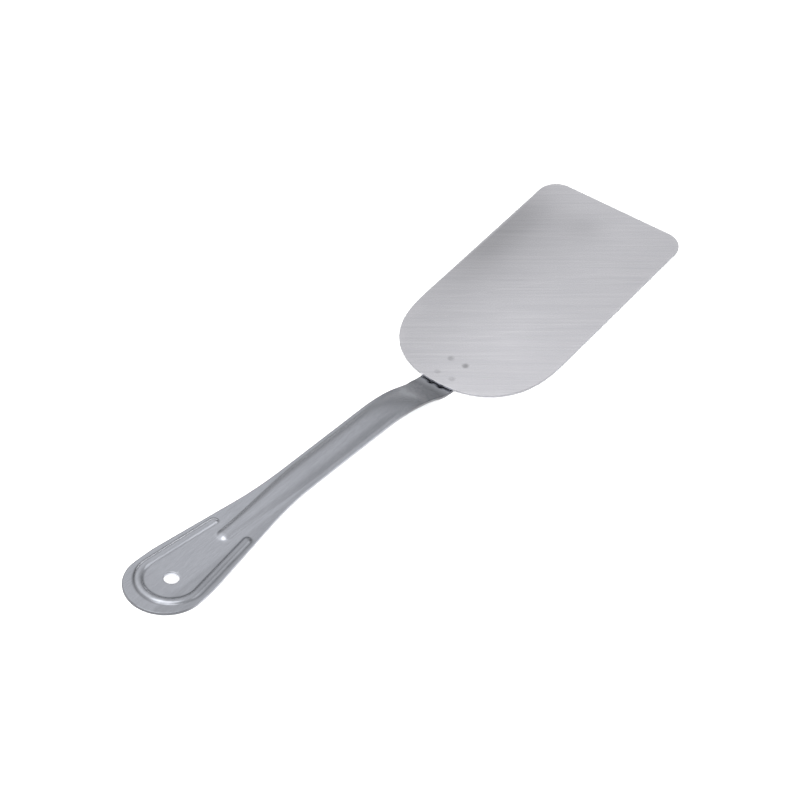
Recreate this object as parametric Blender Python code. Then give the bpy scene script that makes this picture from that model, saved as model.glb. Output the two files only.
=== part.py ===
"""A solid turner (grill spatula): a flat blade spot-welded onto a one-piece stamped steel handle.

Metres, +Z up. +X points from the handle to the blade's far edge and +Y to the object's left. The origin is
the middle of the underside of the bounding box, so the handle's tang, which carries the blade, lies on Z = 0.
Along the handle, places are given as a reach: the distance behind the blade's rear edge.
"""
import math

import bmesh
import bpy
from mathutils import Matrix, Vector

MM = 0.001

# Blade: a flat plate with two small far corners and a nearly semicircular rear end.
BLADE_LENGTH = 144.0 * MM
BLADE_WIDTH = 76.2 * MM
BLADE_THICKNESS = 1.0 * MM
FAR_CORNER_RADIUS = 9.9 * MM
REAR_END_LENGTH = 44.3 * MM
REAR_END_ACROSS_POWER = 2.2
REAR_END_ALONG_POWER = 2.6

# Handle: one stamped sheet, from the tang's front end to the rounded grip end.
SHEET = 1.2 * MM
SEAM_GAP = 0.3 * MM
TANG_REACH = -24.0 * MM
TANG_HALF = 8.25 * MM
TANG_CORNER = 5.0 * MM
TANG_SIDE_REACH = 6.5 * MM
NECK_HALF = 7.6 * MM
NECK_REACH = 12.0 * MM
SHAFT_HALF = 7.92 * MM
SHAFT_REACH = 28.0 * MM
FLARE_ANGLE = math.radians(8.7)
FLARE_BLEND_RADIUS = 190.0 * MM
SHOULDER_RADIUS = 100.0 * MM
END_RADIUS = 17.0 * MM
END_REACH = 177.5 * MM

# Where the flare from shaft to grip starts, and where it turns into the shoulder before the round end.
FLARE_RISE = FLARE_BLEND_RADIUS * (1 - math.cos(FLARE_ANGLE))
FLARE_RUN = FLARE_BLEND_RADIUS * math.sin(FLARE_ANGLE)
SHOULDER_RISE = SHOULDER_RADIUS * (1 - math.cos(FLARE_ANGLE))
SHOULDER_REACH = END_REACH - SHOULDER_RADIUS * math.sin(FLARE_ANGLE)
FLARE_LINE = (END_RADIUS - SHOULDER_RISE - SHAFT_HALF - FLARE_RISE) / math.tan(FLARE_ANGLE)
FLARE_REACH = SHOULDER_REACH - FLARE_LINE - FLARE_RUN

# Side view of the handle's upper face: where each bend starts, its radius and the slope it turns to.
# The first two bends are the joggle that brings the handle up behind the blade's rear edge.
JOGGLE_REACH = -0.05 * MM
JOGGLE_FOOT_RADIUS = 0.5 * MM
JOGGLE_RADIUS = 1.4 * MM
JOGGLE_SLOPE = math.radians(40.0)
BENDS = (
    (JOGGLE_REACH, JOGGLE_FOOT_RADIUS, JOGGLE_SLOPE),
    (JOGGLE_REACH + JOGGLE_FOOT_RADIUS * math.sin(JOGGLE_SLOPE), JOGGLE_RADIUS, math.radians(14.0)),
    (1.2 * MM, 34.0 * MM, math.radians(24.5)),
    (18.0 * MM, 89.0 * MM, math.radians(7.8)),
    (101.0 * MM, 200.0 * MM, math.radians(6.6)),
)

# Two small hollows pressed into the joggle's upper face, one on each side of the middle.
HOLLOW_REACH = 0.8 * MM
HOLLOW_SIDE = 2.5 * MM
HOLLOW_LENGTH = 0.8 * MM
HOLLOW_WIDTH = 1.1 * MM
HOLLOW_DEPTH = 0.4 * MM

# Stiffening rib along the shaft: a raised rounded ridge with a round nose at the grip.
RIB_NOSE_REACH = 142.0 * MM
RIB_FULL_REACH = 88.0 * MM
RIB_FADE_REACH = 50.0 * MM
RIB_END_REACH = 14.0 * MM
RIB_NOSE_HALF = 3.3 * MM
RIB_FULL_HALF = 6.2 * MM
RIB_NOSE_HEIGHT = 1.1 * MM
RIB_FULL_HEIGHT = 1.7 * MM
RIB_FOOT_SOFTNESS = 0.2

# Raised U-shaped bead round the hanging hole: an arc whose two arms draw together towards the shaft.
BEAD_REACH = 174.4 * MM
BEAD_SIDE = -0.1 * MM
BEAD_RADIUS = 12.8 * MM
BEAD_ARM_ANGLE = math.radians(6.8)
BEAD_TIP_REACH = 138.8 * MM
BEAD_HALF = 1.95 * MM
BEAD_HEIGHT = 0.95 * MM
BEAD_POWER = 2.2
BEAD_FOOT_SOFTNESS = 0.1

# Hanging hole.
HOLE_REACH = 174.1 * MM
HOLE_RADIUS = 3.1 * MM

# Spot welds: a lens-shaped nugget in a shallow pocket between the two sheets, in two rows of two.
WELD_REACHES = (-15.8 * MM, -5.8 * MM)
WELD_SIDES = (3.4 * MM, -4.4 * MM)
WELD_RADIUS = 2.1 * MM
WELD_CLEARANCE = 0.3 * MM
POCKET_DEPTH = 0.45 * MM
WELD_SEGMENTS = 32

BLADE_BOTTOM = SHEET + SEAM_GAP
GRIP_SLOPE = BENDS[-1][2]
HANDLE_REACH = END_REACH + END_RADIUS + SHEET * math.sin(GRIP_SLOPE)
REAR_EDGE_X = (HANDLE_REACH - BLADE_LENGTH) / 2

# How finely the blade's outline is divided.
FILLET_SIDES = 12
REAR_SIDES = 40

# How finely the sheet is divided. Rows of mesh points fan out round the hole and then run straight across.
# The outer ends of the fan's rear half are spread from beside the hole to HOLE_SIDE_REACH.
HOLE_ROWS = 12
HOLE_SIDE_REACH = 153.0 * MM
JOIN_REACH = 146.0 * MM
JOIN_ROWS = 7
# The straight rows: the reach where each stretch starts, and the number of rows in it.
STRETCHES = (
    (JOIN_REACH, 11),
    (130.0 * MM, 6),
    (FLARE_REACH, 4),
    (46.0 * MM, 7),
    (NECK_REACH, 6),
    (3.0 * MM, 9),
    (-0.4 * MM, 2),
)
TANG_CORNER_ROWS = 6

# Points along a row, from the hole or centre line to the outline. On the grip the middle group lies on the
# bead, and on the shaft between two fixed shares of the half width, where the rib's foot is.
INNER_POINTS = 6
BEAD_POINTS = 6
EDGE_POINTS = 2
FOOT_SHARES = (0.55, 0.88)
FOOT_FROM_REACH = 132.0 * MM
FOOT_FULL_REACH = 112.0 * MM

NORMAL_STEP = 0.02 * MM
SEARCH_STEPS = 45


def smoothstep(value, start, end):
    """0 at start, 1 at end, level at both."""
    t = min(max((value - start) / (end - start), 0.0), 1.0)
    return t * t * (3 - 2 * t)


def blend(first, second, share):
    return first + (second - first) * share


# ---------------------------------------------------------------- handle shape

def half_width(reach):
    """Half of the handle's width: tang, neck, shaft, flare, then the round grip end."""
    if reach < TANG_REACH + TANG_CORNER:
        over = TANG_REACH + TANG_CORNER - reach
        return TANG_HALF - TANG_CORNER + math.sqrt(max(TANG_CORNER ** 2 - over ** 2, 0.0))
    if reach < NECK_REACH:
        return blend(TANG_HALF, NECK_HALF, smoothstep(reach, TANG_SIDE_REACH, NECK_REACH))
    if reach < FLARE_REACH:
        return blend(NECK_HALF, SHAFT_HALF, smoothstep(reach, NECK_REACH, SHAFT_REACH))
    if reach < FLARE_REACH + FLARE_RUN:
        run = reach - FLARE_REACH
        return SHAFT_HALF + FLARE_BLEND_RADIUS - math.sqrt(FLARE_BLEND_RADIUS ** 2 - run ** 2)
    if reach < SHOULDER_REACH:
        return SHAFT_HALF + FLARE_RISE + (reach - FLARE_REACH - FLARE_RUN) * math.tan(FLARE_ANGLE)
    if reach < END_REACH:
        run = END_REACH - reach
        return END_RADIUS - SHOULDER_RADIUS + math.sqrt(SHOULDER_RADIUS ** 2 - run ** 2)
    return math.sqrt(max(END_RADIUS ** 2 - (reach - END_REACH) ** 2, 0.0))


def side_height(reach):
    """Height of the sheet's upper face along the bends, before the rib and the bead."""
    height, place, slope = SHEET, BENDS[0][0], 0.0
    for start, radius, end_slope in BENDS:
        if reach <= start:
            break
        height += math.tan(slope) * (start - place)
        turn = 1 if end_slope > slope else -1
        run = min(reach - start, radius * abs(math.sin(end_slope) - math.sin(slope)))
        here = math.asin(math.sin(slope) + turn * run / radius)
        height += radius * abs(math.cos(slope) - math.cos(here))
        place, slope = start + run, here
    return height + math.tan(slope) * max(reach - place, 0.0)


def rib_height(reach, side):
    """The rib's arch at a distance to the side of the centre line."""
    share = smoothstep(reach, RIB_NOSE_REACH, RIB_FULL_REACH)
    half = blend(RIB_NOSE_HALF, RIB_FULL_HALF, share)
    height = blend(RIB_NOSE_HEIGHT, RIB_FULL_HEIGHT, share)
    height *= smoothstep(reach, RIB_END_REACH, RIB_FADE_REACH)
    past_nose = max(reach - RIB_NOSE_REACH, 0.0) / RIB_NOSE_HALF
    rise = 1 - (side / half) ** 2 - past_nose ** 2
    return height * (rise + math.hypot(rise, RIB_FOOT_SOFTNESS)) / 2


def bead_distance(reach, side):
    """Distance from the bead's centre line, negative inside the U."""
    along, across = BEAD_REACH - reach, abs(side - BEAD_SIDE)
    turned_along = along * math.cos(BEAD_ARM_ANGLE) - across * math.sin(BEAD_ARM_ANGLE)
    turned_across = along * math.sin(BEAD_ARM_ANGLE) + across * math.cos(BEAD_ARM_ANGLE)
    if turned_along > 0:
        return turned_across - BEAD_RADIUS
    return math.hypot(along, across) - BEAD_RADIUS


def bead_height(reach, side):
    """The bead's rounded ridge, closed off by a round tip at each arm's end."""
    past_tip = max(BEAD_TIP_REACH - reach, 0.0)
    rise = 1 - (math.hypot(bead_distance(reach, side), past_tip) / BEAD_HALF) ** BEAD_POWER
    return BEAD_HEIGHT * (rise + math.hypot(rise, BEAD_FOOT_SOFTNESS)) / 2


def hollow_depth(reach, side):
    """How far the two hollows in the joggle lie below the formed face."""
    along = (reach - HOLLOW_REACH) / HOLLOW_LENGTH
    across = (abs(side) - HOLLOW_SIDE) / HOLLOW_WIDTH
    return HOLLOW_DEPTH * math.exp(-along ** 2 - across ** 2)


def formed_face(reach, side):
    """A point on the bent and ribbed sheet's upper face, before the hollows."""
    height = side_height(reach) + rib_height(reach, side) + bead_height(reach, side)
    return Vector((REAR_EDGE_X - reach, side, height))


def upper_face(reach, side):
    """A point on the handle's finished upper face."""
    return formed_face(reach, side) - Vector((0.0, 0.0, hollow_depth(reach, side)))


def lower_face(reach, side):
    """The point below it through the sheet, square to the formed face."""
    along = formed_face(reach - NORMAL_STEP, side) - formed_face(reach + NORMAL_STEP, side)
    across = formed_face(reach, side + NORMAL_STEP) - formed_face(reach, side - NORMAL_STEP)
    return formed_face(reach, side) - along.cross(across).normalized() * SHEET


# ---------------------------------------------------------------- handle mesh

def spaced(start, end, count):
    """Count even steps from start, without the end itself."""
    return [blend(start, end, k / count) for k in range(count)]


def outline_point(angle):
    """Where a ray from the hanging hole meets the outline, as reach and side. 0 points to the grip end."""
    near, far = HOLE_RADIUS, 2 * END_RADIUS
    for _ in range(SEARCH_STEPS):
        middle = (near + far) / 2
        inside = middle * math.sin(angle) < half_width(HOLE_REACH + middle * math.cos(angle))
        near, far = (middle, far) if inside else (near, middle)
    return HOLE_REACH + near * math.cos(angle), near * math.sin(angle)


def stations():
    """Pairs of points, on the hole or centre line and on the outline, that each row of the mesh joins."""
    pairs = []
    for k in range(HOLE_ROWS + 1):
        angle = math.pi * k / HOLE_ROWS
        rim = (HOLE_REACH + HOLE_RADIUS * math.cos(angle), HOLE_RADIUS * math.sin(angle))
        if angle <= math.pi / 2:
            pairs.append((rim, outline_point(angle)))
        else:
            reach = blend(HOLE_REACH, HOLE_SIDE_REACH, 2 * angle / math.pi - 1)
            pairs.append((rim, (reach, half_width(reach))))
    for share in spaced(0.0, 1.0, JOIN_ROWS)[1:]:
        inner = blend(HOLE_REACH - HOLE_RADIUS, JOIN_REACH, share)
        outer = blend(HOLE_SIDE_REACH, JOIN_REACH, share)
        pairs.append(((inner, 0.0), (outer, half_width(outer))))
    corner = TANG_REACH + TANG_CORNER
    ends = [start for start, _ in STRETCHES[1:]] + [corner]
    reaches = []
    for (start, count), end in zip(STRETCHES, ends):
        reaches += spaced(start, end, count)
    for k in range(TANG_CORNER_ROWS + 1):
        reaches.append(corner - TANG_CORNER * math.sin(math.pi / 2 * k / TANG_CORNER_ROWS))
    return pairs + [((reach, 0.0), (reach, half_width(reach))) for reach in reaches]


def row_places(inner, outer):
    """Places from the inner point to the outline, gathered on the bead or on the rib's foot."""
    run = math.dist(inner, outer)
    near, far = 0.0, 1.0
    for _ in range(SEARCH_STEPS):
        middle = (near + far) / 2
        inside = bead_distance(blend(inner[0], outer[0], middle), blend(inner[1], outer[1], middle)) < 0
        near, far = (middle, far) if inside else (near, middle)
    share = smoothstep(outer[0], FOOT_FROM_REACH, FOOT_FULL_REACH)
    low = blend(near - BEAD_HALF / run, FOOT_SHARES[0], share)
    high = blend(near + BEAD_HALF / run, FOOT_SHARES[1], share)
    places = spaced(0.0, low, INNER_POINTS) + spaced(low, high, BEAD_POINTS)
    return places + spaced(high, 1.0, EDGE_POINTS) + [1.0]


def half_grid(sign):
    """Reach and side of every mesh point of one half, row by row from the grip end to the tang."""
    grid = []
    for inner, outer in stations():
        inner = (inner[0], inner[1] * sign)
        outer = (outer[0], outer[1] * sign)
        grid.append([
            (blend(inner[0], outer[0], place), blend(inner[1], outer[1], place))
            for place in row_places(inner, outer)
        ])
    return grid


def handle_mesh():
    """The stamped sheet: upper and lower faces, joined round the outline and round the hole."""
    grids = {False: half_grid(1), True: half_grid(-1)}
    mesh = bmesh.new()
    made = {}

    def vertex(i, j, mirror, lower):
        reach, side = grids[mirror][i][j]
        key = (i, j, mirror and side != 0, lower)
        if key not in made:
            made[key] = mesh.verts.new((lower_face if lower else upper_face)(reach, side))
        return made[key]

    def face(corners, flip):
        mesh.faces.new(corners[::-1] if flip else corners)

    last = len(grids[False]) - 1
    edge = len(grids[False][0]) - 1
    for mirror in (False, True):
        for i in range(last):
            for j in range(edge):
                around = ((i, j), (i + 1, j), (i + 1, j + 1), (i, j + 1))
                face([vertex(a, b, mirror, False) for a, b in around], mirror)
                face([vertex(a, b, mirror, True) for a, b in around], not mirror)
            upper = [vertex(i, edge, mirror, False), vertex(i + 1, edge, mirror, False)]
            lower = [vertex(i + 1, edge, mirror, True), vertex(i, edge, mirror, True)]
            face(upper + lower, mirror)
            if i < HOLE_ROWS:
                upper = [vertex(i + 1, 0, mirror, False), vertex(i, 0, mirror, False)]
                lower = [vertex(i, 0, mirror, True), vertex(i + 1, 0, mirror, True)]
                face(upper + lower, mirror)
        for j in range(edge):
            upper = [vertex(last, j + 1, mirror, False), vertex(last, j, mirror, False)]
            lower = [vertex(last, j, mirror, True), vertex(last, j + 1, mirror, True)]
            face(upper[::-1] + lower[::-1], not mirror)
    bmesh.ops.recalc_face_normals(mesh, faces=mesh.faces)
    bmesh.ops.triangulate(mesh, faces=mesh.faces)
    return mesh


# ---------------------------------------------------------------- blade and welds

def blade_outline():
    """The blade's outline in its own plane, from the rear edge's middle round by the left side."""
    half = BLADE_WIDTH / 2
    left = []
    for k in range(1, REAR_SIDES + 1):
        across = math.sin(math.pi / 2 * k / REAR_SIDES)
        along = 1 - (1 - across ** REAR_END_ACROSS_POWER) ** (1 / REAR_END_ALONG_POWER)
        left.append((REAR_END_LENGTH * along, half * across))
    for k in range(FILLET_SIDES + 1):
        angle = math.pi / 2 * k / FILLET_SIDES
        along = BLADE_LENGTH - FAR_CORNER_RADIUS * (1 - math.sin(angle))
        left.append((along, half - FAR_CORNER_RADIUS * (1 - math.cos(angle))))
    return [(0.0, 0.0)] + left + [(along, -side) for along, side in reversed(left)]


def blade_mesh():
    mesh = bmesh.new()
    ring = [mesh.verts.new((x, y, 0.0)) for x, y in blade_outline()]
    plate = mesh.faces.new(ring)
    grown = bmesh.ops.extrude_face_region(mesh, geom=[plate])
    moved = [item for item in grown["geom"] if isinstance(item, bmesh.types.BMVert)]
    bmesh.ops.translate(mesh, vec=(0.0, 0.0, BLADE_THICKNESS), verts=moved)
    bmesh.ops.recalc_face_normals(mesh, faces=mesh.faces)
    return mesh


def disc_mesh(radius, low, high, bevel=0.0):
    """A round disc between two heights, with an optional bevel round both rims."""
    mesh = bmesh.new()
    middle = Matrix.Translation((0.0, 0.0, (low + high) / 2))
    bmesh.ops.create_cone(
        mesh, cap_ends=True, segments=WELD_SEGMENTS, radius1=radius, radius2=radius,
        depth=high - low, matrix=middle,
    )
    if bevel:
        rims = [edge for edge in mesh.edges if any(len(face.verts) > 4 for face in edge.link_faces)]
        bmesh.ops.bevel(mesh, geom=rims, offset=bevel, segments=2, profile=0.5, affect="EDGES")
    return mesh


# ---------------------------------------------------------------- objects

def material(name, colour, roughness):
    """Bare steel of one finish."""
    made = bpy.data.materials.new(name)
    made.use_nodes = True
    shader = made.node_tree.nodes["Principled BSDF"]
    shader.inputs["Base Color"].default_value = (*colour, 1.0)
    shader.inputs["Metallic"].default_value = 1.0
    shader.inputs["Roughness"].default_value = roughness
    made.diffuse_color = (*colour, 1.0)
    return made


def add_object(name, mesh, parent, place=(0.0, 0.0, 0.0), finish=None):
    """A named object from a bmesh, shaded smooth but for its sharp edges."""
    data = bpy.data.meshes.new(name)
    mesh.to_mesh(data)
    mesh.free()
    data.shade_smooth()
    data.set_sharp_from_angle(angle=math.radians(35))
    if finish:
        data.materials.append(finish)
    made = bpy.data.objects.new(name, data)
    bpy.context.collection.objects.link(made)
    made.parent = parent
    made.location = place
    return made


def weld_places():
    return [(REAR_EDGE_X - reach, side) for reach in WELD_REACHES for side in WELD_SIDES]


def add_pockets(target, low, high, parent):
    """Shallow round pockets for the weld nuggets, cut into one sheet."""
    for number, (x, y) in enumerate(weld_places(), start=1):
        pocket = disc_mesh(WELD_RADIUS + WELD_CLEARANCE, low, high)
        cutter = add_object(f"{target.name}_pocket_{number}", pocket, parent, (x, y, 0.0))
        cutter.hide_render = True
        cutter.display_type = "WIRE"
        cut = target.modifiers.new(f"weld_pocket_{number}", "BOOLEAN")
        cut.operation = "DIFFERENCE"
        cut.solver = "EXACT"
        cut.object = cutter


def build():
    for item in list(bpy.data.objects):
        bpy.data.objects.remove(item)

    turner = bpy.data.objects.new("turner", None)
    bpy.context.collection.objects.link(turner)

    blade_steel = material("blade_steel", (0.50, 0.50, 0.53), 0.34)
    handle_steel = material("handle_steel", (0.36, 0.36, 0.39), 0.38)
    weld_steel = material("weld_steel", (0.30, 0.30, 0.32), 0.50)

    handle = add_object("handle", handle_mesh(), turner, finish=handle_steel)
    add_pockets(handle, SHEET - POCKET_DEPTH, SHEET + SEAM_GAP, turner)

    blade = add_object("blade", blade_mesh(), turner, (REAR_EDGE_X, 0.0, BLADE_BOTTOM), blade_steel)
    add_pockets(blade, SHEET, BLADE_BOTTOM + POCKET_DEPTH, turner)

    low = SHEET - POCKET_DEPTH + WELD_CLEARANCE
    high = BLADE_BOTTOM + POCKET_DEPTH - WELD_CLEARANCE
    for number, (x, y) in enumerate(weld_places(), start=1):
        nugget = disc_mesh(WELD_RADIUS, low, high, bevel=(high - low) / 3)
        add_object(f"spot_weld_{number}", nugget, turner, (x, y, 0.0), weld_steel)


build()
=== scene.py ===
import math
import random

import bmesh
import bpy
import numpy as np
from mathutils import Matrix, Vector, geometry


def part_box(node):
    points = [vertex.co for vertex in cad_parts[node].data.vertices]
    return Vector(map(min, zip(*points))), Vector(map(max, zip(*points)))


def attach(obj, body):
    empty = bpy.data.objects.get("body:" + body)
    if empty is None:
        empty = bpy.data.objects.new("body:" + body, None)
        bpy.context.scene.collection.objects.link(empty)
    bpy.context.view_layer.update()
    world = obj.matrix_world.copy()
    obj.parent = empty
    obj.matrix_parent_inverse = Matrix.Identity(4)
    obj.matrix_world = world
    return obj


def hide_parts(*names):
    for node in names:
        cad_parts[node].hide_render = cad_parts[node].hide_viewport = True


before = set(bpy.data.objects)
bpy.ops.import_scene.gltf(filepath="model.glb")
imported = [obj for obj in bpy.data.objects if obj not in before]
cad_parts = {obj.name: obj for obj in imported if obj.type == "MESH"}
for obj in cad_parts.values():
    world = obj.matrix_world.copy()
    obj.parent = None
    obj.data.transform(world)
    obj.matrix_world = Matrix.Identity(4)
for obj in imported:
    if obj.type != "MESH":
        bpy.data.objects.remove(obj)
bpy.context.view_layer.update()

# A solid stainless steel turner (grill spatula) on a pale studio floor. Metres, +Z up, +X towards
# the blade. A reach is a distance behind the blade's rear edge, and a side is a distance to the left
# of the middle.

MM = 0.001

blade_low, blade_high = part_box("blade")
REAR_EDGE_X = blade_low.x

# ---------------------------------------------------------------- dimensions, as in the CAD model

BLADE_LENGTH = blade_high.x - blade_low.x
BLADE_WIDTH = blade_high.y - blade_low.y
FAR_CORNER_RADIUS = 9.9 * MM
REAR_END_LENGTH = 44.3 * MM
REAR_END_ACROSS_POWER = 2.2
REAR_END_ALONG_POWER = 2.6

SHEET = 1.2 * MM
TANG_REACH = -24.0 * MM
TANG_HALF = 8.25 * MM
TANG_CORNER = 5.0 * MM
TANG_SIDE_REACH = 6.5 * MM
NECK_HALF = 7.6 * MM
NECK_REACH = 12.0 * MM
SHAFT_HALF = 7.92 * MM
SHAFT_REACH = 28.0 * MM
FLARE_ANGLE = math.radians(8.7)
FLARE_BLEND_RADIUS = 190.0 * MM
SHOULDER_RADIUS = 100.0 * MM
END_RADIUS = 17.0 * MM
END_REACH = 177.5 * MM
FLARE_RISE = FLARE_BLEND_RADIUS * (1 - math.cos(FLARE_ANGLE))
FLARE_RUN = FLARE_BLEND_RADIUS * math.sin(FLARE_ANGLE)
SHOULDER_RISE = SHOULDER_RADIUS * (1 - math.cos(FLARE_ANGLE))
SHOULDER_REACH = END_REACH - SHOULDER_RADIUS * math.sin(FLARE_ANGLE)
FLARE_LINE = (END_RADIUS - SHOULDER_RISE - SHAFT_HALF - FLARE_RISE) / math.tan(FLARE_ANGLE)
FLARE_REACH = SHOULDER_REACH - FLARE_LINE - FLARE_RUN

JOGGLE_REACH = -0.05 * MM
JOGGLE_FOOT_RADIUS = 0.5 * MM
JOGGLE_RADIUS = 1.4 * MM
JOGGLE_SLOPE = math.radians(40.0)
BENDS = (
    (JOGGLE_REACH, JOGGLE_FOOT_RADIUS, JOGGLE_SLOPE),
    (JOGGLE_REACH + JOGGLE_FOOT_RADIUS * math.sin(JOGGLE_SLOPE), JOGGLE_RADIUS, math.radians(14.0)),
    (1.2 * MM, 34.0 * MM, math.radians(24.5)),
    (18.0 * MM, 89.0 * MM, math.radians(7.8)),
    (101.0 * MM, 200.0 * MM, math.radians(6.6)),
)

HOLLOW_REACH = 0.8 * MM
HOLLOW_SIDE = 2.5 * MM
HOLLOW_LENGTH = 0.8 * MM
HOLLOW_WIDTH = 1.1 * MM
HOLLOW_DEPTH = 0.4 * MM

RIB_NOSE_REACH = 142.0 * MM
RIB_FULL_REACH = 88.0 * MM
RIB_FADE_REACH = 50.0 * MM
RIB_END_REACH = 14.0 * MM
RIB_NOSE_HALF = 3.3 * MM
RIB_FULL_HALF = 6.2 * MM
RIB_NOSE_HEIGHT = 1.1 * MM
RIB_FULL_HEIGHT = 1.7 * MM
RIB_FOOT_SOFTNESS = 0.2

BEAD_REACH = 174.4 * MM
BEAD_SIDE = -0.1 * MM
BEAD_RADIUS = 12.8 * MM
BEAD_ARM_ANGLE = math.radians(6.8)
BEAD_TIP_REACH = 138.8 * MM
BEAD_HALF = 1.95 * MM
BEAD_HEIGHT = 0.95 * MM
BEAD_POWER = 2.2
BEAD_FOOT_SOFTNESS = 0.1

HOLE_REACH = 174.1 * MM
HOLE_RADIUS = 3.1 * MM

WELD_REACHES = (-15.8 * MM, -5.8 * MM)
WELD_SIDES = (3.4 * MM, -4.4 * MM)
WELDS = [(REAR_EDGE_X - reach, side) for reach in WELD_REACHES for side in WELD_SIDES]

# ---------------------------------------------------------------- finer detail than the CAD model has

# A weld mark's fade is in shares of its radius.
EDGE_ROUND = 0.22 * MM
UNDER_EDGE_ROUND = 0.12 * MM
HOLE_ROUND = 0.35 * MM
BLADE_EDGE_ROUND = 0.16 * MM
WELD_MARK_RADIUS = 1.5 * MM
WELD_MARK_FADE = (0.45, 1.15)
WELD_MARK_DEPTH = 0.05 * MM


def smoothstep(value, start, end):
    """0 at start, 1 at end, level at both."""
    t = np.clip((value - start) / (end - start), 0.0, 1.0)
    return t * t * (3 - 2 * t)


def blend(first, second, share):
    return first + (second - first) * share


def rounding(distance, radius):
    """How far a rounded edge lies below the flat, at a distance in from the edge."""
    inside = np.clip(radius - distance, 0.0, radius)
    return radius - np.sqrt(radius ** 2 - inside ** 2)


# ---------------------------------------------------------------- handle shape

def half_width(reach):
    """Half of the handle's width: tang, neck, shaft, flare, then the round grip end."""
    corner = np.clip(TANG_REACH + TANG_CORNER - reach, 0.0, TANG_CORNER)
    tang = TANG_HALF - TANG_CORNER + np.sqrt(TANG_CORNER ** 2 - corner ** 2)
    neck = blend(tang, NECK_HALF, smoothstep(reach, TANG_SIDE_REACH, NECK_REACH))
    shaft = blend(neck, SHAFT_HALF, smoothstep(reach, NECK_REACH, SHAFT_REACH))
    run = np.clip(reach - FLARE_REACH, 0.0, FLARE_RUN)
    flare = shaft + FLARE_BLEND_RADIUS - np.sqrt(FLARE_BLEND_RADIUS ** 2 - run ** 2)
    flare += np.clip(reach - FLARE_REACH - FLARE_RUN, 0.0, FLARE_LINE) * math.tan(FLARE_ANGLE)
    run = np.clip(END_REACH - reach, 0.0, END_REACH - SHOULDER_REACH)
    shoulder = END_RADIUS - SHOULDER_RADIUS + np.sqrt(SHOULDER_RADIUS ** 2 - run ** 2)
    over = np.clip(reach - END_REACH, 0.0, END_RADIUS)
    end = np.sqrt(np.maximum(END_RADIUS ** 2 - over ** 2, 0.0))
    return np.where(reach < SHOULDER_REACH, flare, np.where(reach < END_REACH, shoulder, end))


def side_height(reach):
    """Height of the sheet's upper face along the bends, before the rib and the bead."""
    height = SHEET + 0.0 * reach
    slope = 0.0
    stops = [start for start, _, _ in BENDS[1:]] + [math.inf]
    for (start, radius, end_slope), stop in zip(BENDS, stops):
        turn = math.sin(end_slope) - math.sin(slope)
        arc = radius * abs(turn)
        run = np.clip(reach - start, 0.0, arc)
        here = np.arcsin(math.sin(slope) + math.copysign(1.0, turn) * run / radius)
        height = height + radius * abs(math.cos(slope) - np.cos(here))
        height = height + math.tan(end_slope) * np.clip(reach - start - arc, 0.0, stop - start - arc)
        slope = end_slope
    return height


def rib_height(reach, side):
    """The rib's arch at a distance to the side of the centre line."""
    share = smoothstep(reach, RIB_NOSE_REACH, RIB_FULL_REACH)
    half = blend(RIB_NOSE_HALF, RIB_FULL_HALF, share)
    height = blend(RIB_NOSE_HEIGHT, RIB_FULL_HEIGHT, share)
    height = height * smoothstep(reach, RIB_END_REACH, RIB_FADE_REACH)
    past_nose = np.maximum(reach - RIB_NOSE_REACH, 0.0) / RIB_NOSE_HALF
    rise = 1 - (side / half) ** 2 - past_nose ** 2
    return height * (rise + np.hypot(rise, RIB_FOOT_SOFTNESS)) / 2


def bead_distance(reach, side):
    """Distance from the bead's centre line, negative inside the U."""
    along, across = BEAD_REACH - reach, abs(side - BEAD_SIDE)
    turned_along = along * math.cos(BEAD_ARM_ANGLE) - across * math.sin(BEAD_ARM_ANGLE)
    turned_across = along * math.sin(BEAD_ARM_ANGLE) + across * math.cos(BEAD_ARM_ANGLE)
    return np.where(turned_along > 0, turned_across, np.hypot(along, across)) - BEAD_RADIUS


def bead_height(reach, side):
    """The bead's rounded ridge, closed off by a round tip at each arm's end."""
    past_tip = np.maximum(BEAD_TIP_REACH - reach, 0.0)
    rise = 1 - (np.hypot(bead_distance(reach, side), past_tip) / BEAD_HALF) ** BEAD_POWER
    return BEAD_HEIGHT * (rise + np.hypot(rise, BEAD_FOOT_SOFTNESS)) / 2


def hollow_depth(reach, side):
    """How far the two hollows in the joggle lie below the formed face."""
    along = (reach - HOLLOW_REACH) / HOLLOW_LENGTH
    across = (abs(side) - HOLLOW_SIDE) / HOLLOW_WIDTH
    return HOLLOW_DEPTH * np.exp(-along ** 2 - across ** 2)


def formed_face(reach, side):
    """Points on the bent and ribbed sheet's upper face."""
    height = side_height(reach) + rib_height(reach, side) + bead_height(reach, side)
    return np.stack([REAR_EDGE_X - reach, side, height], axis=-1)


def outline_distance(reach, side):
    """How far a point lies in from the handle's outline."""
    step = 0.01 * MM
    slope = (half_width(reach + step) - half_width(reach - step)) / (2 * step)
    beside = (half_width(reach) - abs(side)) / np.hypot(1.0, slope)
    end = END_RADIUS - np.hypot(reach - END_REACH, side)
    corner_along = TANG_REACH + TANG_CORNER - reach
    corner_across = np.maximum(abs(side) - TANG_HALF + TANG_CORNER, 0.0)
    tang = TANG_CORNER - np.hypot(corner_along, corner_across)
    near = np.where(reach > END_REACH, end, np.where(corner_along > 0, tang, beside))
    return np.maximum(near, 0.0)


def weld_mark(x, y):
    """The shallow dents that the welding electrodes left, as a share of their depth."""
    mark = 0.0
    for weld_x, weld_y in WELDS:
        off = np.hypot(x - weld_x, y - weld_y) / WELD_MARK_RADIUS
        mark = mark + 1 - smoothstep(off, *WELD_MARK_FADE)
    return mark


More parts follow.
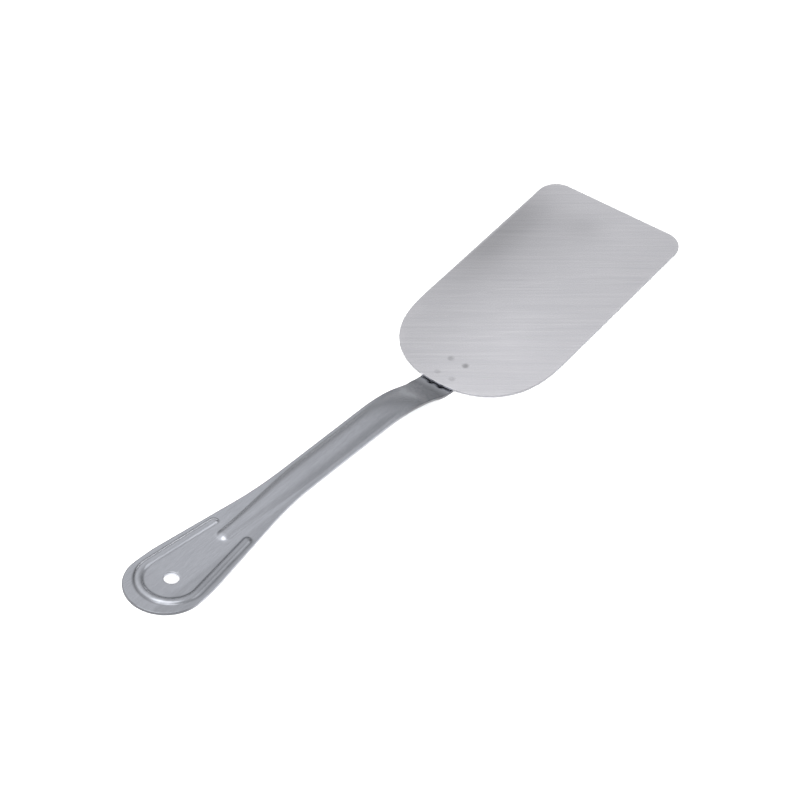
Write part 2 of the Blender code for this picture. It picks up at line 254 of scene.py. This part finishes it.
def handle_surface(reach, side, lower):
    """Points on the sheet's upper or lower face, with its edges rounded."""
    step = 0.02 * MM
    here = formed_face(reach, side)
    along = formed_face(reach - step, side) - formed_face(reach + step, side)
    across = formed_face(reach, side + step) - formed_face(reach, side - step)
    normal = np.cross(along, across)
    normal /= np.linalg.norm(normal, axis=-1, keepdims=True)
    edge = outline_distance(reach, side)
    rim = np.hypot(reach - HOLE_REACH, side) - HOLE_RADIUS
    if lower:
        depth = SHEET - rounding(edge, UNDER_EDGE_ROUND) - rounding(rim, UNDER_EDGE_ROUND)
        here[..., 2] += WELD_MARK_DEPTH * weld_mark(REAR_EDGE_X - reach, side)
    else:
        depth = rounding(edge, EDGE_ROUND) + rounding(rim, HOLE_ROUND)
        here[..., 2] -= hollow_depth(reach, side)
    return here - normal * depth[..., None]


# ---------------------------------------------------------------- handle mesh

FAN_ROWS = 48
HOLE_SIDE_REACH = 153.0 * MM
JOIN_REACH = 146.0 * MM
JOIN_ROWS = 14
STRETCHES = (
    (JOIN_REACH, 46),
    (118.0 * MM, 50),
    (46.0 * MM, 40),
    (NECK_REACH, 16),
    (3.2 * MM, 44),
    (-0.4 * MM, 36),
)
TANG_END_ROWS = 16
ROUND_STEPS = 5
ROW_POINTS = 34
HALVINGS = 45
MERGE_DISTANCE = 0.001 * MM


def outline_point(angle):
    """Where rays from the hanging hole meet the outline. Angle 0 points to the grip end."""
    near, far = HOLE_RADIUS + 0 * angle, 2 * END_RADIUS + 0 * angle
    for _ in range(HALVINGS):
        middle = (near + far) / 2
        inside = middle * np.sin(angle) < half_width(HOLE_REACH + middle * np.cos(angle))
        near, far = np.where(inside, middle, near), np.where(inside, far, middle)
    return HOLE_REACH + near * np.cos(angle), near * np.sin(angle)


def stations():
    """The inner and outer end of every row of mesh points, as arrays of reach and side."""
    angle = np.linspace(0.0, math.pi, FAN_ROWS + 1)
    front = HOLE_REACH + HOLE_RADIUS * np.cos(angle), HOLE_RADIUS * np.sin(angle)
    ray_reach, ray_side = outline_point(np.minimum(angle, math.pi / 2))
    beside = blend(HOLE_REACH, HOLE_SIDE_REACH, np.maximum(2 * angle / math.pi - 1, 0.0))
    past = angle > math.pi / 2
    outer = np.where(past, beside, ray_reach), np.where(past, half_width(beside), ray_side)
    share = np.linspace(0.0, 1.0, JOIN_ROWS + 1)[1:-1]
    join = blend(HOLE_SIDE_REACH, JOIN_REACH, share)
    corner = TANG_REACH + TANG_CORNER
    ends = [start for start, _ in STRETCHES[1:]] + [corner]
    runs = [np.linspace(start, end, count, False) for (start, count), end in zip(STRETCHES, ends)]
    runs.append(np.linspace(corner, TANG_REACH + EDGE_ROUND, TANG_END_ROWS, False))
    runs.append(TANG_REACH + EDGE_ROUND * (1 - np.sin(np.linspace(0, math.pi / 2, ROUND_STEPS + 1))))
    straight = np.concatenate(runs)
    inner_reach = np.concatenate([front[0], blend(HOLE_REACH - HOLE_RADIUS, JOIN_REACH, share), straight])
    inner_side = np.concatenate([front[1], 0 * share, 0 * straight])
    outer_reach = np.concatenate([outer[0], join, straight])
    outer_side = np.concatenate([outer[1], half_width(join), half_width(straight)])
    return inner_reach, inner_side, outer_reach, outer_side


def handle_grid():
    """Reach and side of every mesh point of the left half, one row for each station."""
    inner_reach, inner_side, outer_reach, outer_side = stations()
    run = np.hypot(outer_reach - inner_reach, outer_side - inner_side)[:, None]
    curl = 1 - np.cos(np.linspace(0, math.pi / 2, ROUND_STEPS + 1))[None, :]
    inside = HOLE_ROUND * curl / run
    outside = 1 - EDGE_ROUND * curl[:, ::-1] / run
    middle = np.linspace(0.0, 1.0, ROW_POINTS + 1)[None, 1:-1]
    middle = blend(inside[:, -1:], outside[:, :1], middle)
    place = np.concatenate([inside, middle, outside], axis=1)
    reach = blend(inner_reach[:, None], outer_reach[:, None], place)
    side = blend(inner_side[:, None], outer_side[:, None], place)
    return reach, side


def grid_faces(first, count_i, count_j):
    """Quads of a grid of points numbered row by row."""
    i, j = np.meshgrid(np.arange(count_i - 1), np.arange(count_j - 1), indexing="ij")
    corner = first + i * count_j + j
    return np.stack([corner, corner + count_j, corner + count_j + 1, corner + 1], axis=-1).reshape(-1, 4)


def strip_faces(upper, lower):
    """Quads between two lines of point numbers."""
    return np.stack([upper[:-1], upper[1:], lower[1:], lower[:-1]], axis=-1)


def handle_mesh():
    """The stamped sheet, both faces, joined round the outline and round the hole."""
    reach, side = handle_grid()
    rows, points = reach.shape
    size = rows * points
    coords, faces = [], []
    for number, (sign, lower) in enumerate(((1, False), (1, True), (-1, False), (-1, True))):
        coords.append(handle_surface(reach, side * sign, lower).reshape(-1, 3))
        faces.append(grid_faces(number * size, rows, points))
    row = np.arange(rows) * points
    for first in (0, 2 * size):
        faces.append(strip_faces(first + row + points - 1, first + size + row + points - 1))
        hole = row[:FAN_ROWS + 1]
        faces.append(strip_faces(first + hole, first + size + hole))
        end = (rows - 1) * points + np.arange(points)
        faces.append(strip_faces(first + end, first + size + end))
    return mesh_from(np.concatenate(coords), np.concatenate(faces).tolist())


def mesh_from(coords, faces):
    """A closed bmesh from points and faces, with doubled points merged and normals facing out."""
    data = bpy.data.meshes.new("shape")
    data.from_pydata(coords.tolist(), [], faces)
    mesh = bmesh.new()
    mesh.from_mesh(data)
    bpy.data.meshes.remove(data)
    bmesh.ops.remove_doubles(mesh, verts=mesh.verts, dist=MERGE_DISTANCE)
    bmesh.ops.recalc_face_normals(mesh, faces=mesh.faces)
    return mesh


# ---------------------------------------------------------------- blade mesh

REAR_SIDES = 90
FILLET_SIDES = 20
FLAT_MARGIN = 0.1 * MM
RIM_CLEARANCE = 0.8 * MM
GRID_SPACING = 4.0 * MM
GRID_JITTER = 0.2
WELD_CLEARANCE = 3.2 * MM
WELD_RINGS = 14
WELD_RING_STEP = 0.16 * MM


def blade_outline():
    """Points round the blade, counter-clockwise seen from above, and their outward normals."""
    half = BLADE_WIDTH / 2
    across = np.sin(np.linspace(0.0, math.pi / 2, REAR_SIDES + 1))
    along = 1 - (1 - across ** REAR_END_ACROSS_POWER) ** (1 / REAR_END_ALONG_POWER)
    x = REAR_END_LENGTH * along
    y = half * across
    angle = np.linspace(0.0, math.pi / 2, FILLET_SIDES + 1)
    x = np.concatenate([x, BLADE_LENGTH - FAR_CORNER_RADIUS * (1 - np.sin(angle))])
    y = np.concatenate([y, half - FAR_CORNER_RADIUS * (1 - np.cos(angle))])
    ring = np.stack([np.concatenate([x[::-1], x[1:]]), np.concatenate([y[::-1], -y[1:]])], axis=-1)
    tangent = np.roll(ring, -1, axis=0) - np.roll(ring, 1, axis=0)
    normal = np.stack([tangent[:, 1], -tangent[:, 0]], axis=-1)
    normal /= np.linalg.norm(normal, axis=-1, keepdims=True)
    return ring + (REAR_EDGE_X, 0.0), normal


def blade_top_points():
    """Points inside the top face: a loose grid, and close rings on the weld marks."""
    rng = random.Random(7)
    points = []
    beside = int(BLADE_WIDTH / 2 / GRID_SPACING)
    for i in range(int(BLADE_LENGTH / GRID_SPACING)):
        for k in range(-beside, beside + 1):
            x = REAR_EDGE_X + (i + 0.5 + rng.uniform(-GRID_JITTER, GRID_JITTER)) * GRID_SPACING
            y = (k + rng.uniform(-GRID_JITTER, GRID_JITTER)) * GRID_SPACING
            if min(math.hypot(x - wx, y - wy) for wx, wy in WELDS) > WELD_CLEARANCE:
                points.append((x, y))
    for wx, wy in WELDS:
        points.append((wx, wy))
        for ring in range(1, WELD_RINGS + 1):
            radius = ring * WELD_RING_STEP
            count = 8 + 3 * ring
            for k in range(count):
                angle = 2 * math.pi * (k + 0.5 * (ring % 2)) / count
                points.append((wx + radius * math.cos(angle), wy + radius * math.sin(angle)))
    return np.array(points)


def blade_mesh():
    """The plate, with rounded edges and shallow weld marks in its upper face."""
    outline, normal = blade_outline()
    count = len(outline)
    curl = np.linspace(0.0, math.pi / 2, ROUND_STEPS + 1)
    inset = np.concatenate([BLADE_EDGE_ROUND * (1 - np.cos(curl)), [BLADE_EDGE_ROUND + FLAT_MARGIN]])
    drop = np.concatenate([BLADE_EDGE_ROUND * (1 - np.sin(curl)), [0.0]])
    loops = []
    for high, sign in ((blade_high.z, -1), (blade_low.z, 1)):
        rings = [
            np.column_stack([outline - normal * step, np.full(count, high + sign * fall)])
            for step, fall in zip(inset, drop)
        ]
        loops += rings[::-1] if sign < 0 else rings
    coords = [np.concatenate(loops)]
    faces = []
    for k in range(len(loops) - 1):
        start = k * count
        for i in range(count):
            after = (i + 1) % count
            faces.append((start + i, start + after, start + count + after, start + count + i))
    first = len(loops) * count
    rim = outline - normal * inset[-1]
    inner = blade_top_points()
    keep = [p for p in inner if inside_rim(p, rim, normal)]
    verts = [Vector(p) for p in np.concatenate([rim, np.array(keep)])]
    edges = [(i, (i + 1) % count) for i in range(count)]
    flat, _, triangles, _, _, _ = geometry.delaunay_2d_cdt(verts, edges, [], 1, 1e-7)
    flat = np.array([tuple(p) for p in flat])
    top = blade_high.z - WELD_MARK_DEPTH * weld_mark(flat[:, 0], flat[:, 1])
    coords.append(np.column_stack([flat, top]))
    faces += [tuple(first + k for k in triangle) for triangle in triangles]
    faces.append(tuple((len(loops) - 1) * count + i for i in range(count)))
    return mesh_from(np.concatenate(coords), faces)


def inside_rim(point, rim, normal):
    """True if a point is well inside the rim."""
    away = point - rim
    nearest = int(np.argmin((away ** 2).sum(axis=1)))
    return float(away[nearest] @ normal[nearest]) < -RIM_CLEARANCE


# ---------------------------------------------------------------- materials

class Nodes:
    """Adds nodes to a tree, with sockets set or linked by name."""

    def __init__(self, tree):
        self.tree = tree

    def add(self, kind, settings=None, **sockets):
        node = self.tree.nodes.new(kind)
        for name, value in (settings or {}).items():
            setattr(node, name, value)
        for name, value in sockets.items():
            socket = node.inputs[int(name[1:]) if name[0] == "_" else name.replace("_", " ")]
            if isinstance(value, bpy.types.NodeSocket):
                self.tree.links.new(value, socket)
            else:
                socket.default_value = value
        return node

    def maths(self, operation, first, second):
        return self.add("ShaderNodeMath", {"operation": operation}, _0=first, _1=second).outputs[0]

    def noise(self, place, scale, detail=2.0, stretch=(1.0, 1.0, 1.0), turn=0.0, rough=0.5):
        """Noise from 0 to 1, stretched along a direction turned about Z."""
        turned = self.add("ShaderNodeMapping", Vector=place, Rotation=(0.0, 0.0, -turn))
        mapped = self.add("ShaderNodeMapping", Vector=turned.outputs[0], Scale=stretch)
        made = self.add(
            "ShaderNodeTexNoise", Vector=mapped.outputs[0], Scale=scale, Detail=detail, Roughness=rough,
        )
        return made.outputs["Fac"]

    def spot(self, place, centre, inner, outer):
        """1 inside a radius round a centre, falling to 0 at the outer one."""
        off = self.add("ShaderNodeVectorMath", {"operation": "DISTANCE"}, _0=place, _1=centre)
        made = self.add(
            "ShaderNodeMapRange", {"interpolation_type": "SMOOTHSTEP"},
            Value=off.outputs["Value"], From_Min=inner, From_Max=outer, To_Min=1.0, To_Max=0.0,
        )
        return made.outputs[0]

    def ranged(self, value, low, high, to_low, to_high):
        made = self.add(
            "ShaderNodeMapRange", Value=value, From_Min=low, From_Max=high, To_Min=to_low, To_Max=to_high,
        )
        return made.outputs[0]

    def mixed(self, share, first, second):
        """One colour turning into another."""
        made = self.add("ShaderNodeMix", {"data_type": "RGBA"}, _0=share, _6=first, _7=second)
        return made.outputs[2]


# The cut wall's dark colour is partly the sheared edge's own duller steel and partly painted shade.
WALL_COLOUR = (0.11, 0.113, 0.123)
BLACK = (0.0, 0.0, 0.0)

# Streaks and spots per metre, along the grain first.
FINE_GRAIN = (35.0, 2600.0, 2600.0)
COARSE_GRAIN = (14.0, 700.0, 700.0)
SCRATCHES = (9.0, 420.0, 420.0)
SCRATCH_TURN = math.radians(13.0)
CLOUD_SCALE = 22.0
MOTTLE_SCALE = 160.0

# What each of them adds to the steel's tone, and the tones of the dark and the light steel.
FINE_SHARE = 0.45
COARSE_SHARE = 0.30
CLOUD_SHARE = 0.17
MOTTLE_SHARE = 0.08
WEAR_SHARE = 0.12
SCRATCH_SHARE = 0.06
TONE_RANGE = (0.3, 0.7)

# Noise levels between which scratches, wear and smudges come in, and the strengths they go between.
SCRATCH_BREAKS = (0.74, 0.8, 0.0, 1.0)
WEAR_BREAKS = (0.35, 0.65, 0.3, 1.0)
SMUDGE_BREAKS = (0.35, 0.62, 0.45, 1.0)

ROUGHNESS_SPREAD = 0.05
WALL_ROUGHNESS = 0.15
WEAR_POLISH = 0.06
SCRATCH_DEPTH = 0.6
GRAIN_RELIEF = 0.004 * MM


def steel(name, dark, light, grain_angle, rough, anisotropy, grain_depth, wall_share, smudges=()):
    """Brushed stainless steel: fine grain along one direction, soft blotches, scratches and worn edges.

    It reads three attributes of a piece: edge for wear, wall for the cut wall, shade for painted shade.
    """
    made = bpy.data.materials.new(name)
    made.use_nodes = True
    made.diffuse_color = (*light, 1.0)
    tree = made.node_tree
    tree.nodes.clear()
    add = Nodes(tree)
    place = add.add("ShaderNodeTexCoord").outputs["Object"]

    fine = add.noise(place, 1.0, 2.0, FINE_GRAIN, grain_angle, 0.6)
    coarse = add.noise(place, 1.0, 2.0, COARSE_GRAIN, grain_angle, 0.55)
    cloud = add.noise(place, CLOUD_SCALE, 3.0)
    mottle = add.noise(place, MOTTLE_SCALE, 3.0)
    scratch_place = add.noise(place, 1.0, 0.0, SCRATCHES, grain_angle + SCRATCH_TURN)
    scratch = add.ranged(scratch_place, *SCRATCH_BREAKS)
    wear = add.add("ShaderNodeAttribute", {"attribute_name": "edge"}).outputs["Fac"]
    worn = add.maths("MULTIPLY", wear, add.ranged(mottle, *WEAR_BREAKS))

    tone = add.maths("MULTIPLY", fine, FINE_SHARE)
    shares = (
        (coarse, COARSE_SHARE), (cloud, CLOUD_SHARE), (mottle, MOTTLE_SHARE),
        (worn, WEAR_SHARE), (scratch, SCRATCH_SHARE),
    )
    for value, share in shares:
        tone = add.maths("ADD", tone, add.maths("MULTIPLY", value, share))
    ramp = add.add("ShaderNodeValToRGB", Fac=add.ranged(tone, *TONE_RANGE, 0.0, 1.0))
    ramp.color_ramp.elements[0].color = (*dark, 1.0)
    ramp.color_ramp.elements[1].color = (*light, 1.0)

    wall = add.add("ShaderNodeAttribute", {"attribute_name": "wall"}).outputs["Fac"]
    wall = add.maths("MULTIPLY", wall, wall_share)
    shade = add.add("ShaderNodeAttribute", {"attribute_name": "shade"}).outputs["Fac"]
    broken = add.ranged(mottle, *SMUDGE_BREAKS)
    for centre, amount in smudges:
        patch = add.maths("MULTIPLY", add.spot(place, centre, *SMUDGE_RADII), amount)
        shade = add.maths("ADD", shade, add.maths("MULTIPLY", patch, broken))
    # Painted shade, with the weld smudges (the steel's own tint at the welds) added to it, darkens the
    # steel towards black.
    sheet = add.mixed(shade, ramp.outputs[0], (*BLACK, 1.0))
    colour = add.mixed(wall, sheet, (*WALL_COLOUR, 1.0))
    roughness = add.ranged(tone, *TONE_RANGE, rough + ROUGHNESS_SPREAD, rough - ROUGHNESS_SPREAD)
    roughness = add.maths("ADD", roughness, add.maths("MULTIPLY", wall, WALL_ROUGHNESS))
    roughness = add.maths("SUBTRACT", roughness, add.maths("MULTIPLY", worn, WEAR_POLISH))
    relief = add.maths("ADD", add.maths("MULTIPLY", fine, 0.5), add.maths("MULTIPLY", coarse, 0.5))
    relief = add.maths("SUBTRACT", relief, add.maths("MULTIPLY", scratch, SCRATCH_DEPTH))
    bump = add.add("ShaderNodeBump", Height=relief, Strength=grain_depth, Distance=GRAIN_RELIEF)
    across = grain_angle + math.pi / 2
    brush = add.add("ShaderNodeCombineXYZ", X=math.cos(across), Y=math.sin(across), Z=0.0)
    shader = add.add(
        "ShaderNodeBsdfPrincipled", Base_Color=colour, Metallic=1.0, Roughness=roughness,
        Anisotropic=anisotropy, Normal=bump.outputs[0], Tangent=brush.outputs[0],
    )
    add.add("ShaderNodeOutputMaterial", Surface=shader.outputs[0])
    return made


# ---------------------------------------------------------------- worn edges, the cut wall and painted shade

# Where wear and the cut wall's tone start and reach full strength, as distances in from the edge.
WEAR_FADE = (1.0 * MM, 0.2 * MM)
WALL_FADE = (0.12 * MM, 0.02 * MM)
SEAM_LENGTH = 2.2 * MM
SEAM_WALL = 0.2
SHAFT_WALL = 0.5

# How much each patch of painted shade darkens the steel, from 0 to 1. A crease is its painted shade and
# its width.
BLADE_EDGE_SHADE = 0.19
BLADE_MIDDLE_SHADE = 0.08
BLADE_FAR_SHADE = 0.08
BLADE_LEFT_SHADE = 0.16
LEFT_FLANK_SHADE = 0.16
RIGHT_FLANK_SHADE = (0.04, 0.24)
FLANK_SLOPES = (0.15, 0.5)
INNER_CREASE = (0.15, 0.35 * MM)
OUTER_CREASE = (0.25, 0.35 * MM)
RIGHT_CREASE = (0.32, 0.9 * MM)
END_CREASE = (0.6, 0.5 * MM)
RIGHT_ARM_SHADE = 0.10
NECK_SHADE = (0.26, 0.10)
BEND_SHADE = 0.07
GRIP_END_SHADE = 0.06
HOLLOW_SHADE = 0.85
FLANGE_SHADE = 0.12
RIM_SHADE = 0.35
DARKEST = 0.9


def mark_edges(piece, distance, wall_strength, painted_shade):
    """Stores the attributes that the steel reads: edge wear, the cut wall's strength and painted shade.
    """
    coords = np.empty(len(piece.data.vertices) * 3, np.float32)
    piece.data.vertices.foreach_get("co", coords)
    points = coords.reshape(-1, 3)
    away = distance(points)
    values = {
        "edge": smoothstep(away, *WEAR_FADE),
        "wall": smoothstep(away, *WALL_FADE) * wall_strength(points),
        "shade": painted_shade(points),
    }
    for name, value in values.items():
        made = piece.data.attributes.new(name, "FLOAT", "POINT")
        made.data.foreach_set("value", value.astype(np.float32))


def lobe(off):
    """A soft round patch: 1 in its middle, falling off over a distance of 1."""
    return np.exp(-off ** 2)


def blade_edge(points):
    """How far a point lies from the plate's outline."""
    outline, _ = blade_outline()
    return np.array([np.min(np.hypot(*(outline - point).T)) for point in points[:, :2]])


def blade_wall(points):
    """The cut wall's dark tone, partly its own duller steel and partly painted shade, lighter along the
    seam with the handle.
    """
    behind = np.abs(points[:, 0] - REAR_EDGE_X) < SEAM_LENGTH
    seam = behind & (np.abs(points[:, 1]) < TANG_HALF + SHEET / 2)
    return np.where(seam, SEAM_WALL, 1.0)


def blade_shade(points):
    """Painted shade: darker along the plate's left edge, and a slow change across and along the plate,
    standing in for how its reflection varies.

    Places are shares of the plate's length and of its half width.
    """
    along = (points[:, 0] - REAR_EDGE_X) / BLADE_LENGTH
    across = points[:, 1] / (BLADE_WIDTH / 2)
    band = BLADE_EDGE_SHADE * lobe((along - 0.66) / 0.25) * lobe((across - 0.95) / 0.34)
    middle = BLADE_MIDDLE_SHADE * lobe((along - 0.86) / 0.06) * lobe((across - 0.15) / 0.25)
    far = BLADE_FAR_SHADE * smoothstep(along, 0.2, 0.75)
    left = BLADE_LEFT_SHADE * smoothstep(across, -0.35, 0.85) * smoothstep(along, 1.0, 0.78)
    return band + middle + far + left


def handle_edge(points):
    """How far a point lies from the handle's outline or from the hole's rim."""
    reach, side = REAR_EDGE_X - points[:, 0], points[:, 1]
    rim = np.abs(np.hypot(reach - HOLE_REACH, side) - HOLE_RADIUS)
    return np.minimum(outline_distance(reach, side), rim)


def handle_wall(points):
    """The cut wall's dark tone, partly its own duller steel and partly painted shade: strong round the
    grip's end and the neck, weaker along the shaft.
    """
    reach = REAR_EDGE_X - points[:, 0]
    shaft = smoothstep(reach, 186.0 * MM, 174.0 * MM) * smoothstep(reach, 25.0 * MM, 50.0 * MM)
    return blend(1.0, SHAFT_WALL, shaft)


def flank_shade(reach, side):
    """Painted shade on the rib's steep flanks: on the left, and on the right more so along the shaft."""
    step = 0.05 * MM
    slope = (rib_height(reach, side + step) - rib_height(reach, side - step)) / (2 * step)
    right = blend(*RIGHT_FLANK_SHADE, smoothstep(reach, RIB_NOSE_REACH, RIB_FULL_REACH))
    return smoothstep(np.abs(slope), *FLANK_SLOPES) * np.where(side > 0, LEFT_FLANK_SHADE, right)


def crease_shade(reach, side):
    """Painted shade in the creases along the bead's foot: wide beside the right arm, dark round the end,
    and fine inside the U.
    """
    distance = bead_distance(reach, side)
    off = np.hypot(distance, np.maximum(BEAD_TIP_REACH - reach, 0.0))
    right = smoothstep(side, -8.0 * MM, -12.0 * MM) * smoothstep(reach, 182.0 * MM, 170.0 * MM)
    end = smoothstep(reach, 172.0 * MM, 181.0 * MM) * smoothstep(side, -10.0 * MM, -3.0 * MM)
    creases = zip(INNER_CREASE, OUTER_CREASE, RIGHT_CREASE, END_CREASE)
    shade, width = [
        np.where(distance > 0, blend(blend(outer, beside, right), round_end, end), inner)
        for inner, outer, beside, round_end in creases
    ]
    return shade * lobe((off - BEAD_HALF) / width) + RIGHT_ARM_SHADE * right * (off < BEAD_HALF)


def neck_shade(reach, side):
    """Painted shade on the neck's hollow bend, darker on its right, and on the bend into the shaft."""
    neck = blend(*NECK_SHADE, smoothstep(side, -6.0 * MM, 6.0 * MM))
    neck = neck * lobe((reach - 12.0 * MM) / (9.0 * MM))
    return neck + BEND_SHADE * lobe((reach - 38.0 * MM) / (22.0 * MM))


def handle_shade(points):
    """All the painted shade on the handle, with its right flange, left rim, grip end and the hollows by
    the blade.
    """
    reach, side = REAR_EDGE_X - points[:, 0], points[:, 1]
    end = GRIP_END_SHADE * smoothstep(reach, 172.0 * MM, 184.0 * MM)
    hollow = HOLLOW_SHADE * hollow_depth(reach, side) / HOLLOW_DEPTH
    flange = smoothstep(side, -5.8 * MM, -7.4 * MM) * smoothstep(reach, 70.0 * MM, 105.0 * MM)
    rim = (side > 0) * smoothstep(outline_distance(reach, side), 0.6 * MM, 0.1 * MM)
    creases = flank_shade(reach, side) + crease_shade(reach, side) + neck_shade(reach, side)
    return np.minimum(creases + end + hollow + FLANGE_SHADE * flange + RIM_SHADE * rim, DARKEST)


# ---------------------------------------------------------------- the turner's own steels and pieces

def add_piece(name, mesh, material):
    """A named object on the part's one body, shaded smooth."""
    data = bpy.data.meshes.new(name)
    mesh.to_mesh(data)
    mesh.free()
    data.shade_smooth()
    data.materials.append(material)
    made = bpy.data.objects.new(name, data)
    bpy.context.scene.collection.objects.link(made)
    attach(made, "root")
    return made


BLADE_GRAIN_ANGLE = math.radians(-53.0)
SMUDGE_RADII = (0.6 * MM, 2.2 * MM)
SMUDGE_AMOUNTS = (0.34, 0.42, 0.20, 0.26)

weld_smudges = [((*weld, blade_high.z), amount) for weld, amount in zip(WELDS, SMUDGE_AMOUNTS)]
blade_steel = steel(
    "blade_steel", dark=(0.58, 0.58, 0.615), light=(0.72, 0.715, 0.75), grain_angle=BLADE_GRAIN_ANGLE,
    rough=0.27, anisotropy=0.4, grain_depth=0.20, wall_share=0.7, smudges=weld_smudges,
)
handle_steel = steel(
    "handle_steel", dark=(0.405, 0.42, 0.46), light=(0.505, 0.52, 0.565), grain_angle=0.0,
    rough=0.23, anisotropy=0.0, grain_depth=0.12, wall_share=1.0,
)
weld_steel = steel(
    "weld_steel", dark=(0.30, 0.30, 0.32), light=(0.42, 0.42, 0.44), grain_angle=0.0,
    rough=0.45, anisotropy=0.0, grain_depth=0.2, wall_share=0.0,
)

blade = add_piece("blade_plate", blade_mesh(), blade_steel)
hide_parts("blade")
mark_edges(blade, blade_edge, blade_wall, blade_shade)

handle = add_piece("handle_pressing", handle_mesh(), handle_steel)
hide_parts("handle")
mark_edges(handle, handle_edge, handle_wall, handle_shade)

for number in range(1, len(WELDS) + 1):
    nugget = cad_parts[f"spot_weld_{number}"]
    nugget.data.materials.clear()
    nugget.data.materials.append(weld_steel)

# ---------------------------------------------------------------- floor, light and camera

FLOOR_HALF = 3.0
FLOOR_DROP = 0.2 * MM
FLOOR_COLOUR = (0.93, 0.93, 0.93, 1.0)


def floor():
    """A plain pale plane just below the turner."""
    data = bpy.data.meshes.new("floor")
    signs = ((-1, -1), (1, -1), (1, 1), (-1, 1))
    corners = [(x * FLOOR_HALF, y * FLOOR_HALF, -FLOOR_DROP) for x, y in signs]
    data.from_pydata(corners, [], [(0, 1, 2, 3)])
    made = bpy.data.objects.new("floor", data)
    bpy.context.scene.collection.objects.link(made)
    paint = bpy.data.materials.new("pale_floor")
    paint.use_nodes = True
    shader = paint.node_tree.nodes["Principled BSDF"]
    shader.inputs["Base Color"].default_value = FLOOR_COLOUR
    shader.inputs["Roughness"].default_value = 0.9
    shader.inputs["Specular IOR Level"].default_value = 0.1
    data.materials.append(paint)


# The light tent: which way is up and left in it, and how bright it is from -1 to 1 along each.
UP = (0.20, 0.08, 0.97)
LEFT = (-0.55, 0.83, 0.0)
HEIGHT_STOPS = (
    (-1.0, 0.30), (0.0, 0.18), (0.2, 0.22), (0.35, 0.42), (0.55, 0.70), (0.8, 0.92), (1.0, 1.15),
)
SIDE_STOPS = ((-1.0, 0.75), (-0.45, 0.78), (-0.15, 0.88), (0.0, 0.95), (0.5, 1.25), (1.0, 1.4))


def light_ramp(add, value, stops):
    """Grey levels at places from -1 to 1."""
    ramp = add.add("ShaderNodeValToRGB", Fac=add.ranged(value, -1.0, 1.0, 0.0, 1.0))
    stops = [((place + 1) / 2, level) for place, level in stops]
    ramp.color_ramp.elements[0].position = stops[0][0]
    ramp.color_ramp.elements[1].position = stops[-1][0]
    for position, _ in stops[1:-1]:
        ramp.color_ramp.elements.new(position)
    for element, (_, level) in zip(ramp.color_ramp.elements, stops):
        element.color = (level, level, level, 1.0)
    return ramp.outputs[0]


def studio():
    """A light tent: dim towards the horizon, bright overhead and brighter on the turner's left."""
    world = bpy.data.worlds.new("studio")
    world.use_nodes = True
    bpy.context.scene.world = world
    tree = world.node_tree
    tree.nodes.clear()
    add = Nodes(tree)
    way = add.add("ShaderNodeTexCoord").outputs["Generated"]
    height = add.add("ShaderNodeVectorMath", {"operation": "DOT_PRODUCT"}, _0=way, _1=UP)
    leftward = add.add("ShaderNodeVectorMath", {"operation": "DOT_PRODUCT"}, _0=way, _1=LEFT)
    level = add.maths(
        "MULTIPLY", light_ramp(add, height.outputs["Value"], HEIGHT_STOPS),
        light_ramp(add, leftward.outputs["Value"], SIDE_STOPS),
    )
    background = add.add("ShaderNodeBackground", Color=level, Strength=1.0)
    add.add("ShaderNodeOutputWorld", Surface=background.outputs[0])


# Square lights aimed at the origin: name, place, size, power, and whether the steel reflects them.
LIGHTS = (
    ("front_fill", (-0.95, -0.72, 1.21), 1.0, 55.0, False),
    ("right_softbox", (0.95, -1.10, 0.80), 1.3, 4.2, True),
    ("top_softbox", (-0.27, 0.0, 1.28), 0.85, 3.2, True),
)


def area_light(name, place, size, power, reflected):
    """A square light facing the origin."""
    data = bpy.data.lights.new(name, "AREA")
    data.size = size
    data.energy = power
    made = bpy.data.objects.new(name, data)
    made.location = place
    made.visible_glossy = reflected
    made.rotation_euler = (-Vector(place)).to_track_quat("-Z", "Y").to_euler()
    bpy.context.scene.collection.objects.link(made)


CAMERA_PLACE = (-0.6046, -0.45758, 0.77232)
CAMERA_TURN = (math.radians(44.9), math.radians(0.08), math.radians(-52.92))
CAMERA_LENS = 112.5


def camera():
    """Looks along the turner from behind its grip end, down at 45 degrees."""
    data = bpy.data.cameras.new("camera")
    data.lens = CAMERA_LENS
    made = bpy.data.objects.new("camera", data)
    made.location = CAMERA_PLACE
    made.rotation_euler = CAMERA_TURN
    bpy.context.scene.collection.objects.link(made)
    bpy.context.scene.camera = made


floor()
studio()
for light in LIGHTS:
    area_light(*light)
camera()
bpy.context.scene.view_settings.view_transform = "Standard"
